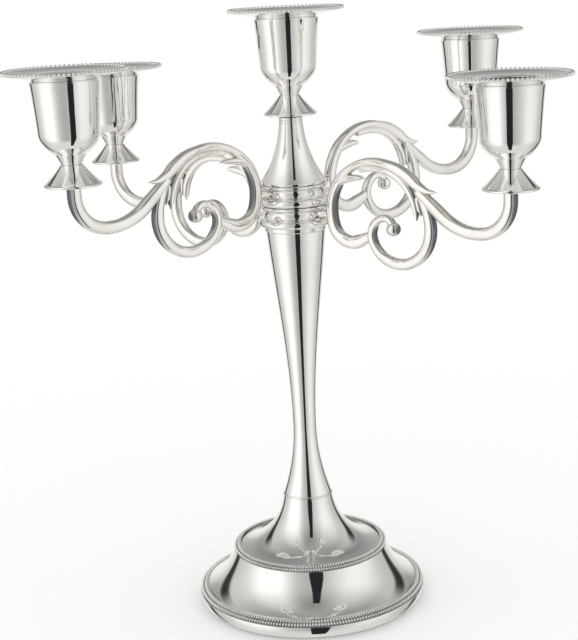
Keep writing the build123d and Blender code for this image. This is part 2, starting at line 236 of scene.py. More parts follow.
def joined(name, parts):
    """One mesh of several closed ones, each given as vertices, faces and normals."""
    vertices, faces, normals = [], [], []
    for part_vertices, part_faces, part_normals in parts:
        first = len(vertices)
        vertices += part_vertices
        normals += part_normals
        faces += [[first + i for i in face] for face in part_faces]
    return mesh_object(name, vertices, faces, normals)


def place_piece(piece, body, slot, material, *nodes):
    """Rides the piece on its body in place of CAD nodes, with its finish."""
    piece.data.materials.clear()
    piece.data.materials.append(material)
    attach(piece, body)
    if nodes:
        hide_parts(*nodes)


# --------------------------------------------------------------- materials


class NodeTree:
    """Short helpers for a node tree."""

    def __init__(self, owner):
        owner.use_nodes = True
        self.tree = owner.node_tree

    def add(self, kind, **values):
        """A new node with the settings given."""
        node = self.tree.nodes.new(kind)
        for key, value in values.items():
            setattr(node, key, value)
        return node

    def link(self, source, target):
        """Feeds one socket from another."""
        self.tree.links.new(source, target)


class Finish(NodeTree):
    """The node tree of one material, with object coordinates at hand."""

    def __init__(self, name):
        self.material = bpy.data.materials.new(name)
        super().__init__(self.material)
        self.shader = self.tree.nodes["Principled BSDF"]
        self.position = self.add("ShaderNodeTexCoord").outputs["Object"]

    def noise(self, scale, detail, stretch=(1, 1, 1), roughness=0.5):
        """Noise over the piece, stretched along its axes."""
        mapping = self.add("ShaderNodeMapping")
        mapping.inputs["Scale"].default_value = stretch
        self.link(self.position, mapping.inputs["Vector"])
        noise = self.add("ShaderNodeTexNoise")
        noise.inputs["Scale"].default_value = scale
        noise.inputs["Detail"].default_value = detail
        noise.inputs["Roughness"].default_value = roughness
        self.link(mapping.outputs["Vector"], noise.inputs["Vector"])
        return noise.outputs["Fac"]

    def between(self, value, low, high, to_low, to_high):
        """The value, mapped from one range to another."""
        remap = self.add("ShaderNodeMapRange")
        ends = {"From Min": low, "From Max": high, "To Min": to_low, "To Max": to_high}
        for socket, number in ends.items():
            remap.inputs[socket].default_value = number
        self.link(value, remap.inputs["Value"])
        return remap.outputs["Result"]

    def blend(self, value, colour_a, colour_b):
        """From one colour to the other as the value rises."""
        mix = self.add("ShaderNodeMix", data_type="RGBA")
        mix.inputs["A"].default_value = (*colour_a, 1)
        mix.inputs["B"].default_value = (*colour_b, 1)
        self.link(value, mix.inputs["Factor"])
        return mix.outputs["Result"]

    def vector(self, operation, a, b=None):
        """A vector operation on sockets or fixed vectors."""
        node = self.add("ShaderNodeVectorMath", operation=operation)
        for socket, value in zip(node.inputs, (a, b)):
            if isinstance(value, tuple):
                socket.default_value = value
            elif value is not None:
                self.link(value, socket)
        return node.outputs["Value" if operation == "DOT_PRODUCT" else "Vector"]

    def outward(self):
        """How squarely a face looks away from the stem: 1 when straight out."""
        level = self.vector("MULTIPLY", self.position, (1.0, 1.0, 0.0))
        away = self.vector("NORMALIZE", level)
        facing = self.add("ShaderNodeTexCoord").outputs["Normal"]
        return self.vector("DOT_PRODUCT", facing, away)

    def bump(self, height, strength, distance, under=None):
        """Relief from a height, over the relief under it if there is one."""
        bump = self.add("ShaderNodeBump")
        bump.inputs["Strength"].default_value = strength
        bump.inputs["Distance"].default_value = distance
        self.link(height, bump.inputs["Height"])
        if under:
            self.link(under, bump.inputs["Normal"])
        return bump.outputs["Normal"]


def silver(name, bright, dull, smooth, worn, waviness, painted_reflection=None):
    """Polished silver plate: faint tarnish clouds, hairlines and a soft waviness.

    A painted reflection colour darkens the cast faces that look away from the stem: painted shade
    standing in for the dark room those faces mirror.
    """
    nodes = Finish(name)
    shader = nodes.shader
    shader.inputs["Metallic"].default_value = 1.0
    clouds = nodes.noise(55, 4)
    colour = nodes.blend(nodes.between(clouds, 0.38, 0.72, 0, 1), bright, dull)
    # Painted reflection: faces looking away from the stem are darkened towards a fixed dark colour, as if
    # mirroring a dark room
    if painted_reflection:
        reflection_darkening = nodes.blend(nodes.between(nodes.outward(), 0.62, 0.9, 0, 0.92), bright, painted_reflection)
        tone = nodes.add("ShaderNodeMix", data_type="RGBA", blend_type="MULTIPLY")
        tone.inputs["Factor"].default_value = 1.0
        nodes.link(colour, tone.inputs["A"])
        nodes.link(reflection_darkening, tone.inputs["B"])
        colour = tone.outputs["Result"]
    nodes.link(colour, shader.inputs["Base Color"])
    wear = nodes.noise(140, 5, roughness=0.65)
    nodes.link(nodes.between(wear, 0.35, 0.75, smooth, worn), shader.inputs["Roughness"])
    hairlines = nodes.noise(900, 3, stretch=(1, 1, 0.06), roughness=0.7)
    waves = nodes.noise(48, 2)
    fine = nodes.bump(hairlines, 0.02, 0.0002)
    nodes.link(nodes.bump(waves, waviness, 0.004, fine), shader.inputs["Normal"])
    return nodes.material


def steel():
    """Turned steel with fine rings, like a thread, round each upright piece."""
    nodes = Finish("zinc_steel")
    shader = nodes.shader
    shader.inputs["Metallic"].default_value = 1.0
    clouds = nodes.noise(220, 4)
    colour = nodes.blend(clouds, (0.62, 0.61, 0.6), (0.42, 0.42, 0.43))
    nodes.link(colour, shader.inputs["Base Color"])
    nodes.link(nodes.between(clouds, 0.3, 0.7, 0.25, 0.42), shader.inputs["Roughness"])
    rings = nodes.add("ShaderNodeTexWave", bands_direction="Z")
    rings.inputs["Scale"].default_value = 220
    nodes.link(nodes.position, rings.inputs["Vector"])
    nodes.link(nodes.bump(rings.outputs["Fac"], 0.6, 0.0003), shader.inputs["Normal"])
    return nodes.material


def felt():
    """Dark wool felt: matted fibres with a faint sheen."""
    nodes = Finish("wool_felt")
    shader = nodes.shader
    shader.inputs["Roughness"].default_value = 0.95
    shader.inputs["Sheen Weight"].default_value = 0.4
    fibres = nodes.noise(1500, 6, roughness=0.75)
    colour = nodes.blend(fibres, (0.012, 0.02, 0.016), (0.05, 0.07, 0.06))
    nodes.link(colour, shader.inputs["Base Color"])
    nodes.link(nodes.bump(fibres, 0.9, 0.0006), shader.inputs["Normal"])
    return nodes.material


SILVER = silver(
    "silver_plate", (0.95, 0.94, 0.92), (0.88, 0.87, 0.84), smooth=0.03, worn=0.07, waviness=0.012
)
# The casting's outward faces carry a painted reflection, darkened towards near black-blue
CASTING = silver(
    "silver_casting", (0.96, 0.95, 0.93), (0.84, 0.83, 0.8), smooth=0.04, worn=0.11, waviness=0.1,
    painted_reflection=(0.1, 0.11, 0.14),
)
BEADING = silver(
    "silver_beading", (0.99, 0.98, 0.97), (0.93, 0.92, 0.89), smooth=0.1, worn=0.2, waviness=0.03
)
# Darker, rougher silver for the border's bed: painted shade between and under the beads
BED_SHADE = silver(
    "silver_bed_painted_shade", (0.5, 0.49, 0.47), (0.26, 0.25, 0.24), smooth=0.22, worn=0.38, waviness=0.2
)
PAN_SILVER = silver(
    "silver_pan", (0.95, 0.94, 0.92), (0.89, 0.88, 0.86), smooth=0.06, worn=0.14, waviness=0.04
)
STEEL = steel()
FELT = felt()


# -------------------------------------------------------------------- base

BASE_WALL = 1.6
SKIRT_FOOT_RADIUS = 49.4
SKIRT_BELLY_RADIUS = 51.0
SKIRT_BELLY_HEIGHT = 1.6
SKIRT_HEIGHT = 6.2
FLARE_FOOT_RADIUS = 48.2
FLARE_FOOT_RISE = 2.3
FLARE_TOP_RADIUS = 35.2
FLARE_HOLLOW = 2.2
LEDGE_HEIGHT = 25.0
LEDGE_INNER_RADIUS = 28.6
TRUMPET_FLANGE = 1.4
TRUMPET_RADIUS = 32.3
TRUMPET_INNER_RADIUS = 30.6
TRUMPET_TOP_RADIUS = 11.2
TRUMPET_TOP_THICKNESS = 2.5
TRUMPET_TOP_INNER_RADIUS = 9.5
TRUMPET_HOLLOW = 5.2
BORDER_INNER_RISE = 2.1
BORDER_OUTER_RISE = 0.3
BEAD_ROWS = (0.3, 0.73)
BEAD_LIFT = 0.12
BEAD_WIDTH_SHARE = 0.2
BEAD_PITCH_SHARE = 0.37
# Each border's inner radius, its beads in a row, and a bead's half height
OUTER_BORDER = (48.3, 240, 0.62)
INNER_BORDER = (32.4, 184, 0.56)


def base_shell():
    """Spun shell: rounded skirt, seat for the border, concave flare and ledge."""
    low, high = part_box("base_shell")
    foot = low.z / MM
    outer = high.x / MM
    shell = Outline(SKIRT_FOOT_RADIUS - BASE_WALL, foot)
    shell.arc(SKIRT_BELLY_RADIUS, SKIRT_BELLY_HEIGHT, 0.5)
    shell.arc(outer, SKIRT_HEIGHT, 0.25)
    shell.line(FLARE_FOOT_RADIUS, SKIRT_HEIGHT)
    shell.line(FLARE_FOOT_RADIUS, SKIRT_HEIGHT + FLARE_FOOT_RISE)
    shell.arc(FLARE_TOP_RADIUS, LEDGE_HEIGHT, -FLARE_HOLLOW)
    shell.line(LEDGE_INNER_RADIUS, LEDGE_HEIGHT)
    shell.line(LEDGE_INNER_RADIUS, LEDGE_HEIGHT - BASE_WALL)
    shell.line(FLARE_TOP_RADIUS - BASE_WALL, LEDGE_HEIGHT - BASE_WALL)
    shell.arc(FLARE_FOOT_RADIUS - BASE_WALL, SKIRT_HEIGHT, FLARE_HOLLOW)
    shell.line(outer - BASE_WALL, SKIRT_HEIGHT - BASE_WALL)
    shell.line(SKIRT_FOOT_RADIUS - BASE_WALL, foot)
    piece = lathe("base_shell_turned", shell, STEPS_LARGE, soften=0.35)
    place_piece(piece, "base", "silver_plate", SILVER, "base_shell")


def pedestal():
    """Spun trumpet with a flange round its foot and a thick top."""
    foot, top = (corner.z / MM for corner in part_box("pedestal"))
    trumpet = Outline(TRUMPET_INNER_RADIUS, foot)
    trumpet.line(TRUMPET_RADIUS, foot)
    trumpet.line(TRUMPET_RADIUS, foot + TRUMPET_FLANGE)
    trumpet.arc(TRUMPET_TOP_RADIUS, top, -TRUMPET_HOLLOW)
    trumpet.line(ROD_HOLE, top)
    trumpet.line(ROD_HOLE, top - TRUMPET_TOP_THICKNESS)
    trumpet.line(TRUMPET_TOP_INNER_RADIUS, top - TRUMPET_TOP_THICKNESS)
    trumpet.arc(TRUMPET_INNER_RADIUS, foot, TRUMPET_HOLLOW)
    piece = lathe("pedestal_spun", trumpet, STEPS_LARGE, soften=0.25)
    place_piece(piece, "base", "silver_plate", SILVER, "pedestal")


def bead(centre, out, ahead, up, sizes, rings=6, steps=10):
    """An oval bead as vertices, faces and normals, half sizes along three axes."""
    vertices, normals, faces = [], [], []
    for i in range(rings + 1):
        tilt = pi * i / rings
        for j in range(steps):
            turn = 2 * pi * j / steps
            x, y, z = sin(tilt) * cos(turn), sin(tilt) * sin(turn), cos(tilt)
            vertices.append(centre + out * x * sizes[0] + ahead * y * sizes[1] + up * z * sizes[2])
            normals.append((out * x / sizes[0] + ahead * y / sizes[1] + up * z / sizes[2]).normalized())
    for i in range(rings):
        for j in range(steps):
            k = (j + 1) % steps
            faces.append([i * steps + j, (i + 1) * steps + j, (i + 1) * steps + k, i * steps + k])
    return vertices, faces, normals


def bead_row(radius, height, count, sizes, lean, centre=(0, 0)):
    """Beads round a circle, each leaning outwards by lean, in millimetres."""
    beads = []
    for i in range(count):
        angle = 2 * pi * i / count
        out = Vector((cos(angle), sin(angle), 0))
        around = Vector((-sin(angle), cos(angle), 0))
        up = Vector((0, 0, 1)) * cos(lean) + out * sin(lean)
        along = out * cos(lean) - Vector((0, 0, 1)) * sin(lean)
        place = Vector((centre[0], centre[1], 0)) + (out * radius + Vector((0, 0, height))) * MM
        beads.append(bead(place, along, around, up, [size * MM for size in sizes]))
    return beads


def border(node, inner, count, bead_height):
    """Soldered border: a bed darkened with painted shade between the beads, two rows of beads and a plain
    inner ridge.
    """
    low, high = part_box(node)
    outer = high.x / MM
    bottom = low.z / MM
    ridge_foot = bottom + BORDER_INNER_RISE - 0.3
    width = outer - inner

    bed = Outline(inner, bottom)
    bed.line(outer - 0.4, bottom)
    bed.line(outer - 0.3, bottom + BORDER_OUTER_RISE)
    bed.line(inner, bottom + BORDER_INNER_RISE)
    piece = lathe(node + "_bed", bed, STEPS_LARGE, soften=0.15)
    # The bed's darker silver is painted shade between the beads
    place_piece(piece, "base", "silver_beading", BED_SHADE)

    fall = BORDER_INNER_RISE - BORDER_OUTER_RISE
    beads = []
    for share in BEAD_ROWS:
        radius = inner + width * share
        height = bottom + BORDER_INNER_RISE - fall * share + BEAD_LIFT
        pitch = 2 * pi * radius / count
        sizes = (width * BEAD_WIDTH_SHARE, pitch * BEAD_PITCH_SHARE, bead_height)
        beads += bead_row(radius, height, count, sizes, atan2(fall, width))
    piece = joined(node + "_beads", beads)
    place_piece(piece, "base", "silver_beading", BEADING, node)

    ridge = Outline(inner + 0.05, ridge_foot)
    ridge.line(inner + 0.55, ridge_foot)
    ridge.arc(inner + 0.05, ridge_foot + 0.02, 0.45)
    piece = lathe(node + "_ridge", ridge, STEPS_LARGE, soften=0.05)
    place_piece(piece, "base", "silver_beading", BEADING)


# -------------------------------------------------------------------- stem

STEM_FOOT_RADIUS = 11.25
STEM_WAIST_RADIUS = 5.34
STEM_WAIST_RISE = 32.6
STEM_TOP_RADIUS = 13.35
COLLAR_RADIUS = 13.7
COLLAR_CHAMFER = 0.5
FINIAL_NECK_RADIUS = 5.3
FINIAL_COLLAR_RADIUS = 5.0
RING_BORE = 3.06


def stem():
    """Waisted column with a small rounded lip at its foot."""
    foot, top = (corner.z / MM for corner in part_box("stem"))
    column = Outline(ROD_HOLE, foot)
    column.line(STEM_FOOT_RADIUS, foot)
    column.arc(STEM_FOOT_RADIUS, foot + 0.8, 0.15)
    column.line(STEM_FOOT_RADIUS - 0.25, foot + 1.0)
    column.flow(STEM_WAIST_RADIUS, foot + STEM_WAIST_RISE, -0.36, 0)
    column.flow(STEM_TOP_RADIUS, top, 0, 0.1)
    column.line(ROD_HOLE, top)
    piece = lathe("stem_turned", column, STEPS_SMALL, soften=0.12)
    place_piece(piece, "base", "silver_plate", SILVER, "stem")


def stem_collar():
    """Thin bearing collar with its lower edge chamfered."""
    foot, top = (corner.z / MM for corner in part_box("stem_collar"))
    collar = Outline(ROD_HOLE, foot)
    collar.line(COLLAR_RADIUS - 0.45, foot)
    collar.line(COLLAR_RADIUS, foot + COLLAR_CHAMFER)
    collar.line(COLLAR_RADIUS, top)
    collar.line(ROD_HOLE, top)
    piece = lathe("stem_collar_turned", collar, STEPS_SMALL, soften=0.15)
    place_piece(piece, "base", "silver_plate", SILVER, "stem_collar")


def finial():
    """Flared nut with two small beads under its top."""
    low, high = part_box("finial")
    foot, top = low.z / MM, high.z / MM
    outer = high.x / MM
    flare = Outline(0, foot)
    flare.line(outer, foot)
    flare.line(outer, foot + 0.7)
    flare.arc(FINIAL_NECK_RADIUS, top - 2.6, -1.75)
    flare.line(FINIAL_COLLAR_RADIUS, top - 2.4)
    flare.arc(FINIAL_COLLAR_RADIUS, top - 1.2, 0.35)
    flare.arc(FINIAL_COLLAR_RADIUS, top, 0.35)
    flare.line(0, top)
    piece = lathe("finial_turned", flare, STEPS_SMALL, soften=0.15, closed=False)
    place_piece(piece, "base", "silver_plate", SILVER, "finial")


def hub_ring(level, body):
    """Ring with a thin top lip, a rounded waist and a bold bottom bead."""
    foot, top = (corner.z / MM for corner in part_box("hub_ring_" + level))
    foot, top = foot + SEAT_GAP, top - SEAT_GAP
    ring = Outline(RING_BORE, foot)
    ring.line(14.0, foot)
    ring.arc(14.5, foot + 3.9, 2.25)
    ring.line(14.3, foot + 4.15)
    ring.arc(14.6, top - 1.75, -0.6)
    ring.arc(14.3, top - 0.2, 0.62)
    ring.line(13.9, top)
    ring.line(RING_BORE, top)
    piece = lathe(f"hub_ring_{level}_turned", ring, STEPS_SMALL, soften=0.15)
    place_piece(piece, body, "silver_plate", SILVER, "hub_ring_" + level)


# ----------------------------------------------------------------- holders

# Heights are above the boss that the holder stands on.
STUD_HOLE = 2.1
STUD_THREAD = 2.05
STUD_HOLE_TOP = 15.7
BELL_HEIGHT = 9.5
CANDLE_BORE = 11.3
CANDLE_FLOOR = 22.1
PAN_SEAT_RADIUS = 12.45
PAN_SEAT_HEIGHT = 39.5
CUP_TOP = 42.7
PAN_HOLE = 11.5
PAN_SPIGOT = 12.4
PAN_FOOT = 39.7
RIM_RADIUS = 24.3
RIM_TOP = 46.1
RIM_BEADS = 84
RIM_BEAD_SIZES = (0.85, 0.74, 0.78)
RIM_BEAD_LEAN = radians(12)


def skirt(place, centre):
    """Bell-shaped washer with a rounded rim."""
    bell = Outline(STUD_HOLE, 0)
    bell.line(4.6, 0)
    bell.arc(11.0, 1.0, -0.2)
    bell.arc(11.15, 2.1, 0.62)
    bell.line(10.9, 2.25)
    bell.arc(4.55, BELL_HEIGHT - 0.2, -0.2)
    bell.line(4.3, BELL_HEIGHT)
    bell.line(STUD_HOLE, BELL_HEIGHT)
    piece = lathe(f"skirt_{place}_turned", bell, STEPS_SMALL, centre, soften=0.12)
    place_piece(piece, "skirt_" + place, "silver_plate", SILVER, "skirt_" + place)


def candle_cup(place, centre):
    """Cup: coned foot, round bowl, tapered wall, pan seat and candle bore."""
    cup = Outline(0.0, STUD_HOLE_TOP)
    cup.line(STUD_THREAD, STUD_HOLE_TOP)
    cup.line(STUD_THREAD, BELL_HEIGHT + SEAT_GAP)
    cup.line(4.0, BELL_HEIGHT + SEAT_GAP)
    cup.line(4.25, 9.75)
    cup.arc(6.6, 13.85, -0.12)
    cup.line(6.9, 14.0)
    cup.arc(11.75, 19.4, 0.55)
    cup.arc(12.35, 22.2, 0.16)
    cup.flow(14.1, CUP_TOP - 0.6, 0.07, 0.12)
    cup.line(13.5, CUP_TOP)
    cup.line(PAN_SEAT_RADIUS, CUP_TOP)
    cup.line(PAN_SEAT_RADIUS, PAN_SEAT_HEIGHT)
    cup.line(CANDLE_BORE, PAN_SEAT_HEIGHT)
    cup.line(CANDLE_BORE, CANDLE_FLOOR)
    cup.line(0.0, CANDLE_FLOOR)
    piece = lathe(f"candle_cup_{place}_turned", cup, STEPS_SMALL, centre, soften=0.15, closed=False)
    place_piece(piece, "cup_" + place, "silver_plate", SILVER, "candle_cup_" + place)


def drip_pan(place, centre):
    """Shallow dish with a spigot below and a row of beads round its rim."""
    pan = Outline(PAN_HOLE, PAN_FOOT)
    pan.line(PAN_SPIGOT, PAN_FOOT)
    pan.line(PAN_SPIGOT, CUP_TOP)
    pan.line(13.2, CUP_TOP + 0.05)
    pan.arc(14.6, 44.0, -0.25)
    pan.arc(RIM_RADIUS, RIM_TOP - 0.7, 0.5)
    pan.arc(RIM_RADIUS, RIM_TOP - 0.05, 0.3)
    pan.line(23.6, RIM_TOP)
    pan.arc(14.8, 44.9, -0.7)
    pan.arc(12.0, 44.55, 0.1)
    pan.line(PAN_HOLE, 44.1)
    piece = lathe(f"drip_pan_{place}_spun", pan, STEPS_SMALL, centre, soften=0.15)
    place_piece(piece, "pan_" + place, "silver_pan", PAN_SILVER, "drip_pan_" + place)
    rim_height = centre[2] / MM + RIM_TOP
    beads = bead_row(RIM_RADIUS, rim_height, RIM_BEADS, RIM_BEAD_SIZES, RIM_BEAD_LEAN, centre)
    rim = joined(f"drip_pan_{place}_rim_beads", beads)
    place_piece(rim, "pan_" + place, "silver_pan", PAN_SILVER)


def holder(place):
    """One candle holder, on the boss that its skirt's node stands on."""
    low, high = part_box("skirt_" + place)
    centre = ((low.x + high.x) / 2, (low.y + high.y) / 2, low.z)
    skirt(place, centre)
    candle_cup(place, centre)
    drip_pan(place, centre)


# -------------------------------------------------------------------- arms

# Each path: start point, first heading in degrees, then its stretches as
# (radius, turn in degrees) or (straight length, 0), in the arm's vertical
# plane: distance from the stem's axis, then height above the lug.
TUBE_PATH = ((67.0, 12.7), -40.0, [(14.2, 0), (26.2, 46.5), (14.6, 83.5), (3.4, 0)])
SCROLL_PATH = (
    (75.7, 13.07),
    181.8,
    [(2.2, 0), (12.35, -42.7), (33.5, 35.2), (23.5, 49.8), (22.1, 60.3), (9.9, 97.4), (66.4, 5.7)],
)
RIB_PATH = ((38.0, 20.7), 11.8, [(30.7, -19.9), (19.5, -84.9)])
PRONG_PATH = ((66.3, 10.0), -86.0, [(30.0, 14.0)])
VOLUTE_PATH = (
    (67.7, 10.9),
    -55.0,
    [(25.0, -29.9), (16.1, -112.9), (13.6, -49.4), (8.0, -86.9), (4.8, -97.4)],
)
LEAF_PATH = ((24.5, 14.2), 27.0, [(24.9, -34.3)])
LUG_PATH = ((12.0, 0.0), 0.0, [(8.8, 0)])
# Half width in the arm's plane, then half thickness across it, at shares of
# the path's length.
TUBE_WIDTHS = [(0, 2.2, 2.3), (0.25, 2.7, 2.7), (1, 2.75, 2.75)]
SCROLL_WIDTHS = [
    (0, 0.1, 0.4), (0.03, 0.9, 1.2), (0.08, 1.9, 1.9), (0.14, 2.5, 2.4), (0.2, 2.5, 2.5), (0.3, 1.9, 2.5),
    (0.45, 1.75, 2.5), (0.6, 2.4, 2.5), (0.8, 2.7, 2.5), (0.93, 3.0, 2.3), (1, 2.2, 1.9),
]
RIB_WIDTHS = [(0, 1.3, 2.0), (0.5, 1.6, 2.0), (0.8, 1.5, 1.9), (0.92, 1.25, 1.6), (1, 0.1, 0.5)]
PRONG_WIDTHS = [(0, 1.2, 1.8), (0.6, 1.0, 1.5), (1, 0.1, 0.4)]
VOLUTE_WIDTHS = [
    (0, 1.6, 2.0), (0.08, 2.3, 2.3), (0.2, 2.6, 2.5), (0.5, 2.5, 2.4), (0.75, 2.0, 2.2), (1, 1.5, 1.8),
]
LEAF_WIDTHS = [(0, 1.8, 2.5), (0.5, 1.7, 2.5), (0.8, 1.2, 2.0), (1, 0.1, 0.6)]
LUG_WIDTHS = [(0, 2.2, 2.0), (1, 2.2, 2.0)]
LUG_LEVEL = 5.85
BALL_PLACE = (53.3, -3.9)
BALL_RADIUS = 3.1
SECTION_SQUARENESS = 0.78
SECTION_STEPS = 32
END_CAP_TURN = radians(88)
PATH_SAMPLE = 0.5


def path_points(path):
    """Points and directions along a path of tangent stretches."""
    (reach, rise), heading, stretches = path
    here = Vector((reach, rise))
    heading = radians(heading)
    points = [(here.copy(), heading)]
    for size, turn in stretches:
        length = size if turn == 0 else size * abs(radians(turn))
        count = max(2, ceil(length / PATH_SAMPLE))
        for _ in range(count):
            step = radians(turn) / count
            middle = heading + step / 2
            chord = length / count if turn == 0 else 2 * size * sin(abs(step) / 2)
            here = here + Vector((cos(middle), sin(middle))) * chord
            heading += step
            points.append((here.copy(), heading))
    return points


def width_at(widths, share):
    """Half sizes at a share of the path, eased between the listed ones."""
    for (a, *low), (b, *high) in zip(widths, widths[1:]):
        if share <= b:
            t = (share - a) / (b - a)
            t = t * t * (3 - 2 * t)
            return [p + (q - p) * t for p, q in zip(low, high)]
    return list(widths[-1][1:])


def squared(value, power):
    """A power that keeps the sign, for an oval with flatter sides."""
    return copysign(abs(value) ** power, value)


def swept(path, widths, end_caps=(True, True)):
    """Closed bar of changing oval section along a path, in the arm's frame."""
    points = path_points(path)
    lengths = [0.0]
    for (a, _), (b, _) in zip(points, points[1:]):
        lengths.append(lengths[-1] + (b - a).length)
    total = lengths[-1]
    rings = []
    for (place, heading), length in zip(points, lengths):
        rings.append((place, heading, *width_at(widths, length / total), 0.0))
    rings = capped(rings, end_caps)
    vertices, normals, faces = [], [], []
    for place, heading, half_width, half_thick, lean in rings:
        side = Vector((-sin(heading), 0, cos(heading)))
        ahead = Vector((cos(heading), 0, sin(heading)))
        for k in range(SECTION_STEPS):
            angle = 2 * pi * k / SECTION_STEPS
            broad = squared(cos(angle), SECTION_SQUARENESS)
            deep = squared(sin(angle), SECTION_SQUARENESS)
            across = Vector((0, 1, 0))
            spot = Vector((place.x, 0, place.y)) + side * half_width * broad + across * half_thick * deep
            vertices.append(spot * MM)
            steep = 2 / SECTION_SQUARENESS - 1
            normal = side * half_thick * squared(broad, steep)
            normal += across * half_width * squared(deep, steep)
            normals.append((normal.normalized() * cos(lean) + ahead * sin(lean)).normalized())
    count = len(rings)
    for i in range(count - 1):
        for k in range(SECTION_STEPS):
            j = (k + 1) % SECTION_STEPS
            a, b = i * SECTION_STEPS, (i + 1) * SECTION_STEPS
            faces.append([a + j, a + k, b + k, b + j])
    faces.append(list(range(SECTION_STEPS)))
    faces.append(list(reversed(range((count - 1) * SECTION_STEPS, count * SECTION_STEPS))))
    return vertices, faces, normals


def capped(rings, end_caps, steps=6):
    """Adds a rounded end to each end of a bar that needs one."""
    first, last = [], []
    ends = (end_caps[0], rings[0], -1, first), (end_caps[1], rings[-1], 1, last)
    for wanted, ring, sign, store in ends:
        if not wanted:
            continue
        place, heading, half_width, half_thick, _ = ring
        reach = min(half_width, half_thick)
        for i in range(1, steps + 1):
            angle = END_CAP_TURN * i / steps
            spot = place + Vector((cos(heading), sin(heading))) * sign * reach * sin(angle)
            store.append((spot, heading, half_width * cos(angle), half_thick * cos(angle), sign * angle))
    return list(reversed(first)) + rings + last


def moved(part, turn, shift):
    """A part turned about Z and shifted, in metres."""
    vertices, faces, normals = part
    matrix = Matrix.Rotation(turn, 3, "Z")
    return [matrix @ v + shift for v in vertices], faces, [matrix @ n for n in normals]


def ball(centre, radius):
    """A ball in the arm's plane, as vertices, faces and normals."""
    x, y, z = Vector((1, 0, 0)), Vector((0, 1, 0)), Vector((0, 0, 1))
    place = Vector((centre[0], 0, centre[1])) * MM
    return bead(place, x, y, z, [radius * MM] * 3, rings=24, steps=32)


def arm(place, level, body):
    """Cast arm: tube, C-scroll, inner rib, prong, volute, leaf, lug and ball."""
    skirt_low, skirt_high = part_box("skirt_" + place)
    turn = atan2(skirt_low.y + skirt_high.y, skirt_low.x + skirt_high.x)
    ring_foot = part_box("hub_ring_" + level)[0].z
    shift = Vector((0, 0, ring_foot + LUG_LEVEL * MM))
    parts = [
        swept(TUBE_PATH, TUBE_WIDTHS, (True, False)),
        swept(SCROLL_PATH, SCROLL_WIDTHS),
        swept(RIB_PATH, RIB_WIDTHS),
        swept(PRONG_PATH, PRONG_WIDTHS),
        swept(VOLUTE_PATH, VOLUTE_WIDTHS),
        swept(LEAF_PATH, LEAF_WIDTHS),
        swept(LUG_PATH, LUG_WIDTHS, (False, False)),
        ball(BALL_PLACE, BALL_RADIUS),
    ]
    piece = joined(f"arm_{place}_cast", [moved(part, turn, shift) for part in parts])
    place_piece(piece, body, "silver_casting", CASTING, "arm_" + place)


# ------------------------------------------------------------ stage, camera


def upright_card(name, edge, place, grey):
    """A card facing the stem, seen only in the silver; edge lists (half width, height)."""
    material = bpy.data.materials.new(name)
    nodes = NodeTree(material)
    nodes.tree.nodes.clear()
    glow = nodes.add("ShaderNodeEmission")
    glow.inputs["Color"].default_value = (*grey, 1)
    surface = nodes.add("ShaderNodeOutputMaterial").inputs["Surface"]
    nodes.link(glow.outputs["Emission"], surface)
    corners = [(side * half, 0, height) for half, height in edge for side in (-1, 1)]
    faces = [(i, i + 1, i + 3, i + 2) for i in range(0, len(corners) - 2, 2)]
    card = flat_object(name, corners, faces, material)
    facing = atan2(place.y, place.x) + pi / 2
    card.matrix_world = Matrix.Translation(place) @ Matrix.Rotation(facing, 4, "Z")
    for ray in ("camera", "diffuse", "shadow", "transmission"):
        setattr(card, "visible_" + ray, False)


def beside_camera(right, ahead):
    """A place on the floor: to the right of the camera's line, and in front of the stem."""
    turn = radians(CAMERA_AZIMUTH)
    return Matrix.Rotation(turn, 3, "Z") @ Vector((right, -ahead, 0))


# Brightness of the studio that the silver mirrors. Azimuth is in degrees from
# the camera's side, positive to the right; elevation is above the horizon.
WALL_BRIGHTNESS = [
    (-180, 1.0), (-157, 0.9), (-141, 0.7), (-125, 0.6), (-106, 0.66),
    (-90, 0.84), (-76, 1.0), (-55, 1.08), (-40, 0.9), (-28, 0.66), (-14, 0.5), (0, 0.46), (14, 0.52),
    (28, 0.63), (43, 0.76), (60, 0.87), (76, 0.83), (95, 0.7), (118, 0.56), (142, 0.66), (157, 0.85),
    (180, 1.0),
]
# Two tall dark gaps in the walls, one on each side, which end below the ceiling
GAP_BRIGHTNESS = [(0, 1.0), (124, 1.0), (131, 0.09), (137, 0.07), (143, 1.0), (180, 1.0)]
GAP_ENDS_FROM, GAP_ENDS_BY = 26, 46
SIDE_FALLOFF = [
    (-90, 0.9), (-40, 0.9), (-28, 0.93), (-16, 0.97), (0, 1.0), (36, 1.0), (50, 0.84), (62, 0.66),
    (78, 0.5), (90, 0.42),
]
BACK_FALLOFF = [(-90, 0.8), (-30, 0.9), (-5, 0.95), (8, 0.78), (20, 0.46), (60, 0.3), (90, 0.36)]
BACK_STARTS, BACK_WHOLE = 125, 150
ZENITH_STARTS, ZENITH_WHOLE, ZENITH_BRIGHTNESS = 62, 88, 0.36
NADIR_STARTS, NADIR_WHOLE, NADIR_BRIGHTNESS = 30, 60, 0.74
ROOM_WHITE = 1.12


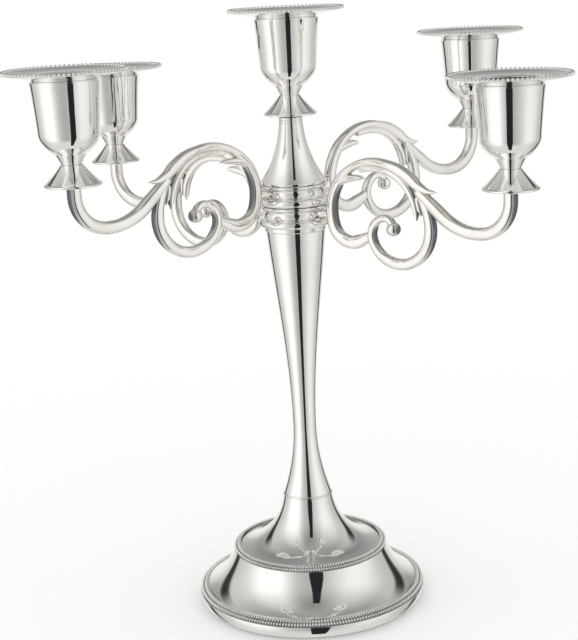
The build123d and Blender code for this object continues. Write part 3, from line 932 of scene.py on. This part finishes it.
class World(NodeTree):
    """The node tree of the studio round the object."""

    def __init__(self):
        world = bpy.data.worlds.new("studio")
        bpy.context.scene.world = world
        super().__init__(world)
        self.background = self.tree.nodes["Background"]

    def feed(self, socket, value):
        """Sets a socket to a number, or links it to another socket."""
        if isinstance(value, (int, float)):
            socket.default_value = value
        else:
            self.link(value, socket)

    def maths(self, operation, *values):
        """A maths operation on sockets or fixed numbers."""
        node = self.add("ShaderNodeMath", operation=operation)
        for socket, value in zip(node.inputs, values):
            self.feed(socket, value)
        return node.outputs["Value"]

    def curve(self, value, stops):
        """The brightness between listed stops, as a smooth curve."""
        low, high = stops[0][0], stops[-1][0]
        share = self.maths("DIVIDE", self.maths("SUBTRACT", value, low), high - low)
        tallest = max(level for _, level in stops)
        node = self.add("ShaderNodeFloatCurve")
        points = node.mapping.curves[0].points
        while len(points) < len(stops):
            points.new(0.5, 0.5)
        for point, (where, level) in zip(points, stops):
            point.location = ((where - low) / (high - low), level / tallest)
        node.mapping.update()
        self.feed(node.inputs["Value"], share)
        return self.maths("MULTIPLY", node.outputs["Value"], tallest)

    def fade(self, value, start, whole):
        """From 0 at the start to 1 where it is whole, eased at both ends."""
        node = self.add("ShaderNodeMapRange", interpolation_type="SMOOTHSTEP")
        self.feed(node.inputs["Value"], value)
        self.feed(node.inputs["From Min"], start)
        self.feed(node.inputs["From Max"], whole)
        return node.outputs["Result"]

    def mix(self, share, a, b):
        """From a to b as the share rises."""
        node = self.add("ShaderNodeMix")
        self.feed(node.inputs["Factor"], share)
        self.feed(node.inputs["A"], a)
        self.feed(node.inputs["B"], b)
        return node.outputs["Result"]


def studio():
    """A white room for the floor, and soft lit walls for the silver to mirror."""
    world = World()
    direction = world.add("ShaderNodeTexCoord").outputs["Generated"]
    turned = world.add("ShaderNodeVectorRotate", rotation_type="Z_AXIS")
    world.feed(turned.inputs["Vector"], direction)
    turned.inputs["Angle"].default_value = -radians(CAMERA_AZIMUTH)
    parts = world.add("ShaderNodeSeparateXYZ")
    world.feed(parts.inputs["Vector"], turned.outputs["Vector"])
    right, ahead, up = (parts.outputs[axis] for axis in "XYZ")
    azimuth = world.maths("DEGREES", world.maths("ARCTAN2", right, world.maths("MULTIPLY", ahead, -1)))
    elevation = world.maths("DEGREES", world.maths("ARCSINE", up))
    falloff = world.mix(
        world.fade(world.maths("ABSOLUTE", azimuth), BACK_STARTS, BACK_WHOLE),
        world.curve(elevation, SIDE_FALLOFF),
        world.curve(elevation, BACK_FALLOFF),
    )
    wall = world.maths("MULTIPLY", world.curve(azimuth, WALL_BRIGHTNESS), falloff)
    gap = world.curve(world.maths("ABSOLUTE", azimuth), GAP_BRIGHTNESS)
    gap = world.mix(world.fade(elevation, GAP_ENDS_FROM, GAP_ENDS_BY), gap, 1)
    wall = world.maths("MULTIPLY", wall, gap)
    mirrored = world.mix(world.fade(elevation, ZENITH_STARTS, ZENITH_WHOLE), wall, ZENITH_BRIGHTNESS)
    depth = world.maths("MULTIPLY", elevation, -1)
    mirrored = world.mix(world.fade(depth, NADIR_STARTS, NADIR_WHOLE), mirrored, NADIR_BRIGHTNESS)
    glossy = world.add("ShaderNodeLightPath").outputs["Is Glossy Ray"]
    world.feed(world.background.inputs["Strength"], world.mix(glossy, ROOM_WHITE, mirrored))
    world.background.inputs["Color"].default_value = (1, 0.995, 0.985, 1)


FLOOR_REACH = 6.0
SLIT_EDGE = [(0.058, -0.6), (0.06, 0.08), (0.056, 0.16), (0.047, 0.23), (0.04, 0.34), (0.04, 0.7)]
SLIT_PLACE = (0.038, 0.352)
SLIT_GREY = (0.02, 0.02, 0.024)


def stage():
    """A pale matt floor, and one dark card in front of the stem for the silver to mirror."""
    material = bpy.data.materials.new("pale_floor")
    material.use_nodes = True
    shader = material.node_tree.nodes["Principled BSDF"]
    shader.inputs["Base Color"].default_value = (0.9, 0.9, 0.9, 1)
    shader.inputs["Roughness"].default_value = 0.9
    shader.inputs["Specular IOR Level"].default_value = 0.0
    corners = [(x * FLOOR_REACH, y * FLOOR_REACH, 0) for x, y in ((-1, -1), (1, -1), (1, 1), (-1, 1))]
    floor = flat_object("floor", corners, [(0, 1, 2, 3)], material)
    floor.visible_glossy = False
    upright_card("dark_slit", SLIT_EDGE, beside_camera(*SLIT_PLACE), SLIT_GREY)


def camera():
    """The photograph's camera, turned round the stem to its azimuth."""
    yaw, pitch, roll = (radians(a) for a in (CAMERA_YAW, CAMERA_PITCH, CAMERA_ROLL))
    forward = Vector((sin(yaw) * cos(pitch), cos(yaw) * cos(pitch), -sin(pitch)))
    level_right = Vector((cos(yaw), -sin(yaw), 0))
    level_up = level_right.cross(forward)
    right = level_right * cos(roll) + level_up * sin(roll)
    up = level_up * cos(roll) - level_right * sin(roll)
    spin = Matrix.Rotation(radians(CAMERA_AZIMUTH), 3, "Z")
    axes = [spin @ right, spin @ up, spin @ -forward]
    data = bpy.data.cameras.new("camera")
    data.lens = CAMERA_LENS
    data.clip_start = 0.01
    viewer = in_scene("camera", data)
    place = spin @ Vector((0, -CAMERA_DISTANCE, CAMERA_HEIGHT)) * MM
    viewer.matrix_world = Matrix.Translation(place) @ Matrix(axes).transposed().to_4x4()
    bpy.context.scene.camera = viewer


def plain_nodes():
    """CAD nodes that stay as they are, with a finish of their own."""
    finishes = {"steel": STEEL, "felt": FELT}
    slots = {part["node"]: part["material_slot"] for part in frame["record"]["subparts"]}
    for name, node in frame["nodes"].items():
        if slots[name] in finishes:
            for material_slot in node.material_slots:
                material_slot.link = "OBJECT"
                material_slot.material = finishes[slots[name]]


camera()
studio()
stage()
plain_nodes()
base_shell()
pedestal()
border("border_outer", *OUTER_BORDER)
border("border_inner", *INNER_BORDER)
stem()
stem_collar()
finial()
hub_ring("lower", "lower_arms")
hub_ring("upper", "upper_arms")
for place in ("centre", "right", "left", "back", "front"):
    holder(place)
for place in ("right", "left"):
    arm(place, "lower", "lower_arms")
for place in ("back", "front"):
    arm(place, "upper", "upper_arms")

bpy.context.scene.view_settings.view_transform = "Standard"
